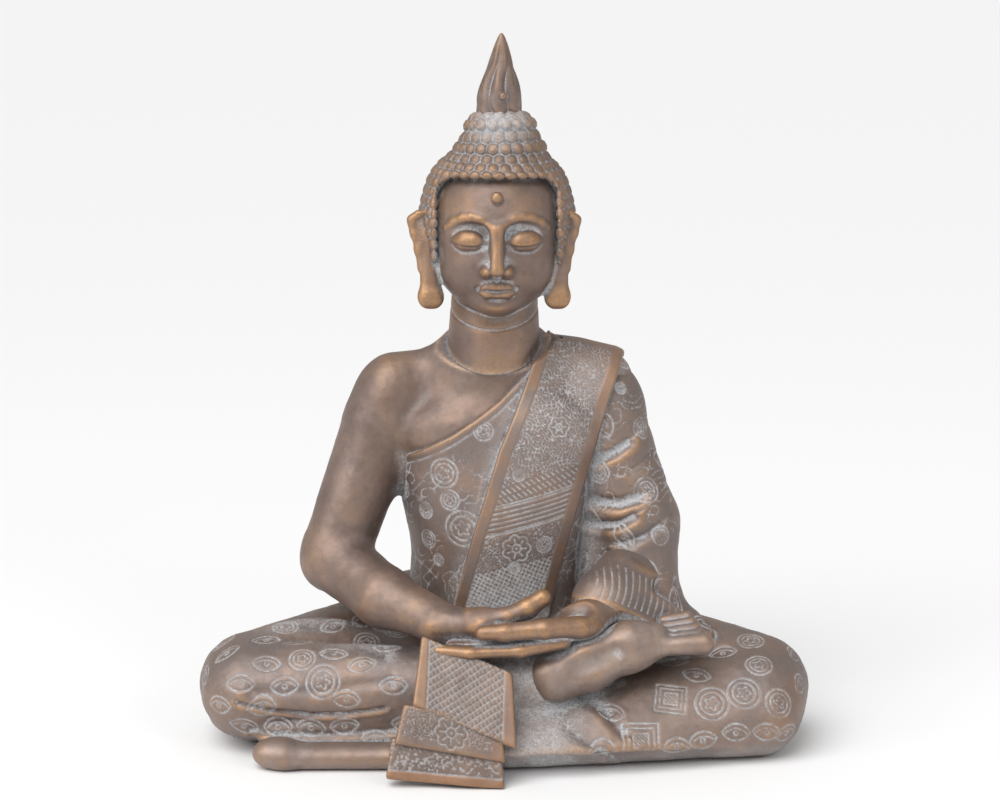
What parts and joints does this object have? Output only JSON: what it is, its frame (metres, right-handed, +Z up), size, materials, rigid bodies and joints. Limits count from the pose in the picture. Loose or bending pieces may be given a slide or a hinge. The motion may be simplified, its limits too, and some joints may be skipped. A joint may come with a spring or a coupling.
{
  "type": "seated buddha statue",
  "caption": "Seated meditating buddha statue, cross-legged with hands in the lap, sash over one shoulder, curled hair and a flame finial.",
  "frame": {"origin": "on the floor, under the middle of the overall bounding box", "axes": "+Z up, the figure faces -Y, +X is the figure's own left-hand side"},
  "size_m": [0.52, 0.2952, 0.5979],
  "materials": {
    "cast_skin": "cast resin and stone powder, satin bronze paint",
    "cast_robe": "cast resin and stone powder, bronze paint with pale wash in the engraving",
    "cast_sash": "cast resin and stone powder, bronze paint with pale wash and copper borders",
    "cast_hair": "cast resin and stone powder, bronze paint with pale wash",
    "gold_paint": "cast resin and stone powder, copper gold paint",
    "plate_board": "matte",
    "screw_steel": "zinc plated",
    "pad_felt": "felt",
    "dowel_wood": "plain beech"
  },
  "bodies": {
    "root": {"crossed_legs_shell": "cast_robe", "torso_shell": "cast_skin", "chest_robe": "cast_robe", "right_upper_arm": "cast_skin", "right_forearm": "cast_skin", "right_hand": "cast_skin", "left_sleeve": "cast_robe", "left_cuff": "cast_robe", "left_hand": "cast_skin", "right_foot": "cast_skin", "left_foot": "cast_skin", "shoulder_sash": "cast_sash", "back_sash": "cast_sash", "lap_sash_upper": "cast_sash", "lap_sash_middle": "cast_sash", "lap_sash_lower": "cast_sash", "head_shell": "cast_skin", "hair_cap": "cast_hair", "flame_finial": "gold_paint", "urna_bead": "gold_paint", "neck_dowel": "dowel_wood", "right_arm_dowel": "dowel_wood", "left_arm_dowel": "dowel_wood", "base_plate": "plate_board", "base_screw_1": "screw_steel", "base_screw_2": "screw_steel", "base_screw_3": "screw_steel", "base_screw_4": "screw_steel", "base_screw_5": "screw_steel", "base_screw_6": "screw_steel", "foot_pad_1": "pad_felt", "foot_pad_2": "pad_felt", "foot_pad_3": "pad_felt", "foot_pad_4": "pad_felt", "foot_pad_5": "pad_felt"}
  },
  "joints": []
}
